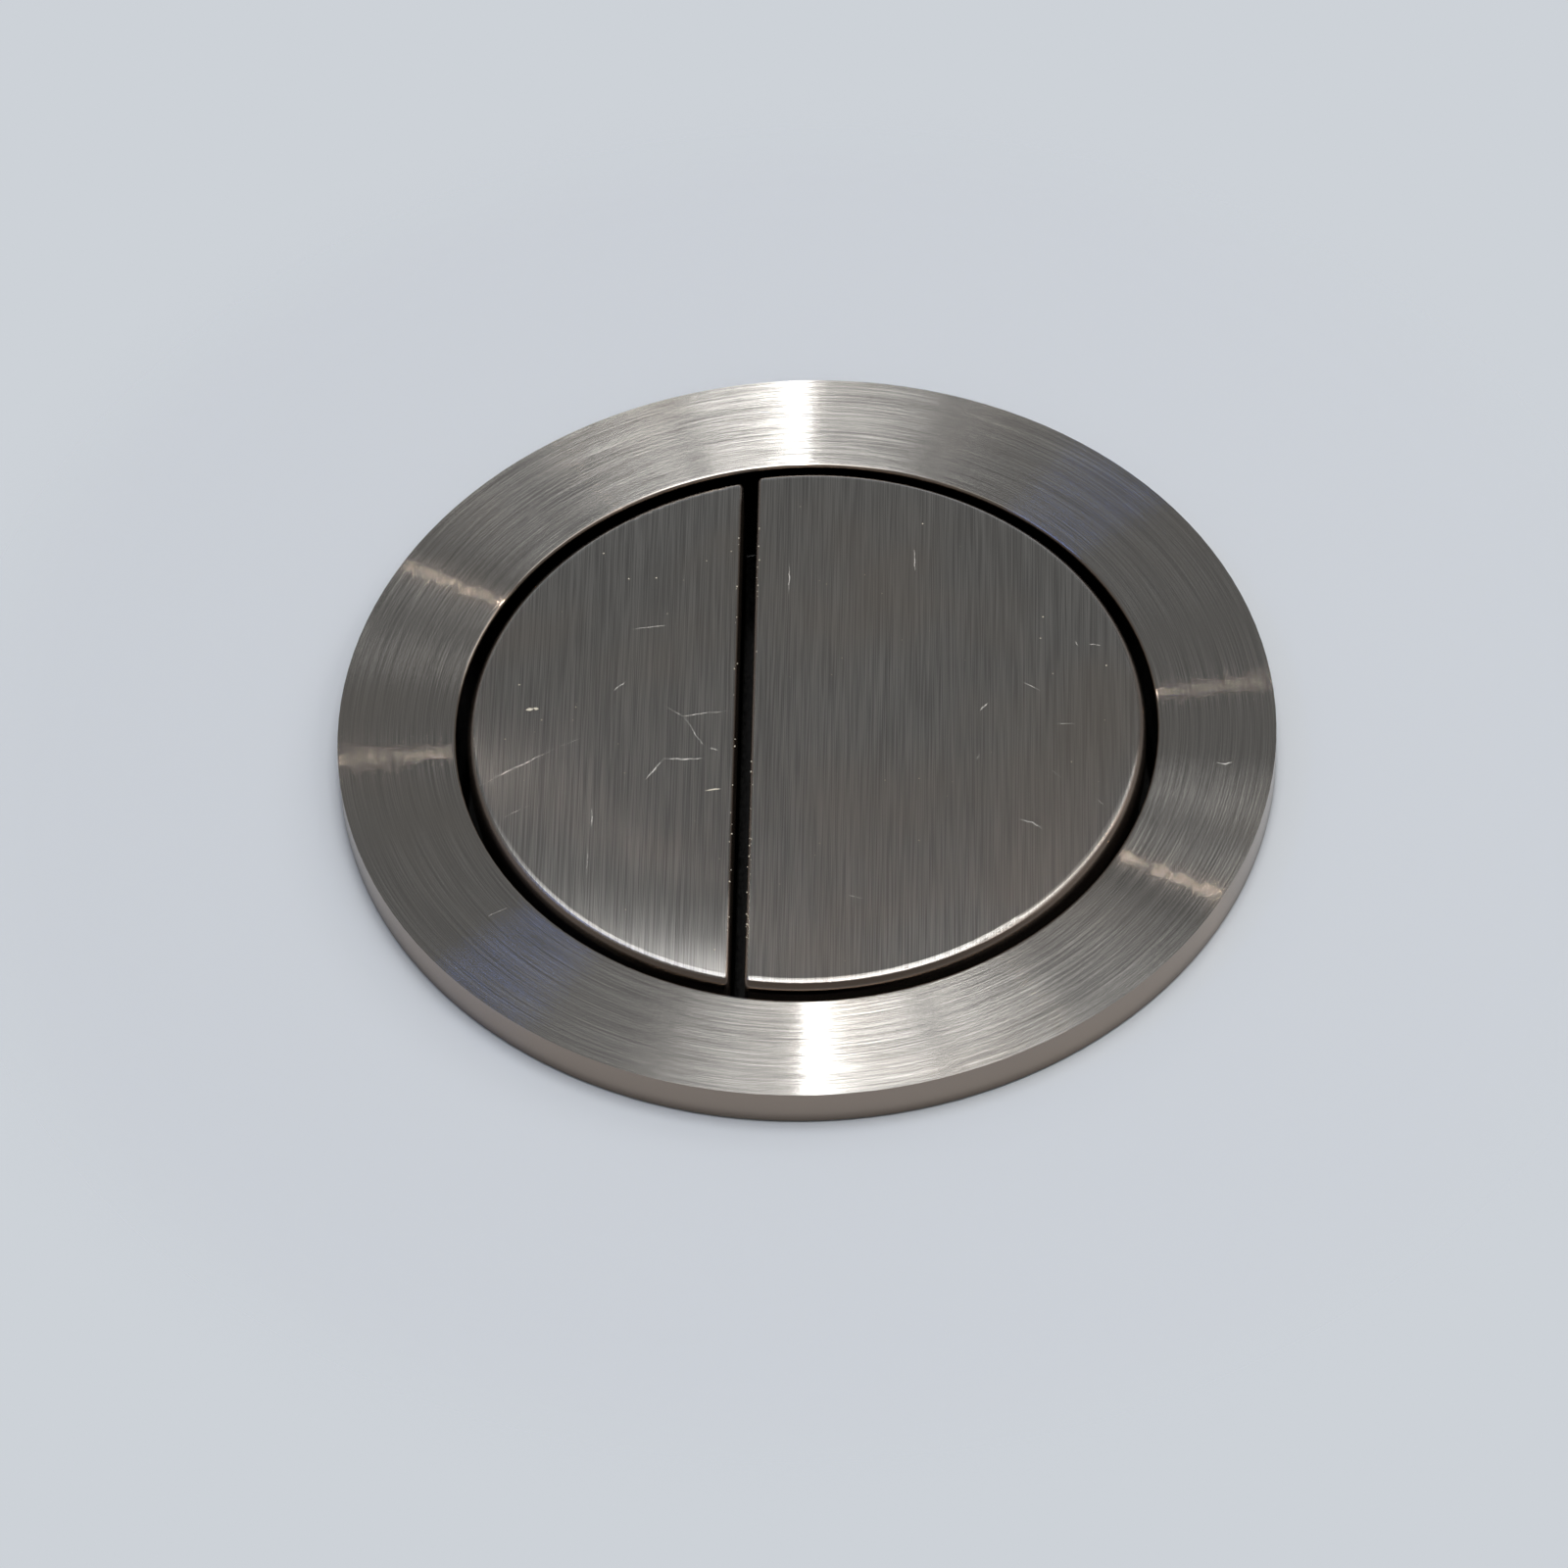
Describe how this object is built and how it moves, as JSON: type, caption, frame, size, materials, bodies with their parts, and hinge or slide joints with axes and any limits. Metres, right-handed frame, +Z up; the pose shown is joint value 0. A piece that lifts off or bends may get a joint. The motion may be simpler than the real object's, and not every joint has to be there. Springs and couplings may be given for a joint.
{
  "type": "push button cistern actuator",
  "caption": "Round two-plate push button clamped in a cistern lid, with sprung plates, screwed push rods and a lugged back nut below.",
  "frame": {"origin": "on the button's axis, in the plane of the lid's top face, which the gasket rests on", "axes": "+Z up out of the lid; +X across the split, from the half-flush plate to the full-flush plate; +Y along the split"},
  "size_m": [0.073, 0.073, 0.0637],
  "materials": {
    "brushed_stainless": "concentric brushed bezel and straight brushed plates",
    "black_abs": "moulded, fine spark-eroded texture",
    "white_abs": "moulded, satin",
    "blue_abs": "moulded, satin",
    "grey_plastic": "moulded acetal, satin",
    "polyethylene": "natural, slightly translucent",
    "black_rubber": "matt moulded rubber",
    "spring_steel": "bright drawn stainless wire and strip"
  },
  "bodies": {
    "housing": {"bezel_ring": "brushed_stainless", "housing": "black_abs", "lid_gasket": "black_rubber", "half_return_spring": "spring_steel", "full_return_spring": "spring_steel"},
    "clamp_rings": {"clamp_washer": "black_rubber", "slip_ring": "polyethylene"},
    "back_nut": {"back_nut": "black_abs"},
    "half_flush_button": {"half_flush_plate": "brushed_stainless", "half_flush_carrier": "black_abs", "half_stop_buffer": "black_rubber", "half_retaining_clip": "spring_steel"},
    "half_rod_foot": {"half_rod_foot": "grey_plastic"},
    "half_push_rod": {"half_push_rod": "white_abs"},
    "full_flush_button": {"full_flush_plate": "brushed_stainless", "full_flush_carrier": "black_abs", "full_stop_buffer": "black_rubber", "full_retaining_clip": "spring_steel"},
    "full_rod_foot": {"full_rod_foot": "grey_plastic"},
    "full_push_rod": {"full_push_rod": "blue_abs"}
  },
  "joints": [
    {"name": "half_flush_press", "type": "slide", "parent": "housing", "child": "half_flush_button", "axis": [0, 0, -1], "range_m": [0, 0.006], "stiffness_N_per_m": 250, "springref_m": -0.008, "deforming": ["half_return_spring"]},
    {"name": "half_rod_length", "type": "slide", "parent": "half_flush_button", "child": "half_rod_foot", "axis": [0, 0, 1], "range_m": [-0.01, 0.008]},
    {"name": "half_rod_turn", "type": "hinge", "parent": "half_rod_foot", "child": "half_push_rod", "pos_m": [-0.015, 0, -0.03], "axis": [0, 0, 1], "range_deg": [-2401, 1921]},
    {"name": "full_flush_press", "type": "slide", "parent": "housing", "child": "full_flush_button", "axis": [0, 0, -1], "range_m": [0, 0.006], "stiffness_N_per_m": 250, "springref_m": -0.008, "deforming": ["full_return_spring"]},
    {"name": "full_rod_length", "type": "slide", "parent": "full_flush_button", "child": "full_rod_foot", "axis": [0, 0, 1], "range_m": [-0.01, 0.008]},
    {"name": "full_rod_turn", "type": "hinge", "parent": "full_rod_foot", "child": "full_push_rod", "pos_m": [0.009, 0, -0.03], "axis": [0, 0, 1], "range_deg": [-2401, 1921]},
    {"name": "clamp_slide", "type": "slide", "parent": "housing", "child": "clamp_rings", "axis": [0, 0, 1], "range_m": [-0.00601, 0.00401]},
    {"name": "back_nut_turn", "type": "hinge", "parent": "clamp_rings", "child": "back_nut", "pos_m": [0, 0, -0.0163], "axis": [0, 0, 1], "range_deg": [-720, 480]}
  ],
  "couplings": [
    {"joint": "half_rod_turn", "follows": "half_rod_length", "rad_per_m": 4188.8},
    {"joint": "full_rod_turn", "follows": "full_rod_length", "rad_per_m": 4188.8},
    {"joint": "clamp_slide", "follows": "back_nut_turn", "m_per_rad": 0.00047746}
  ]
}
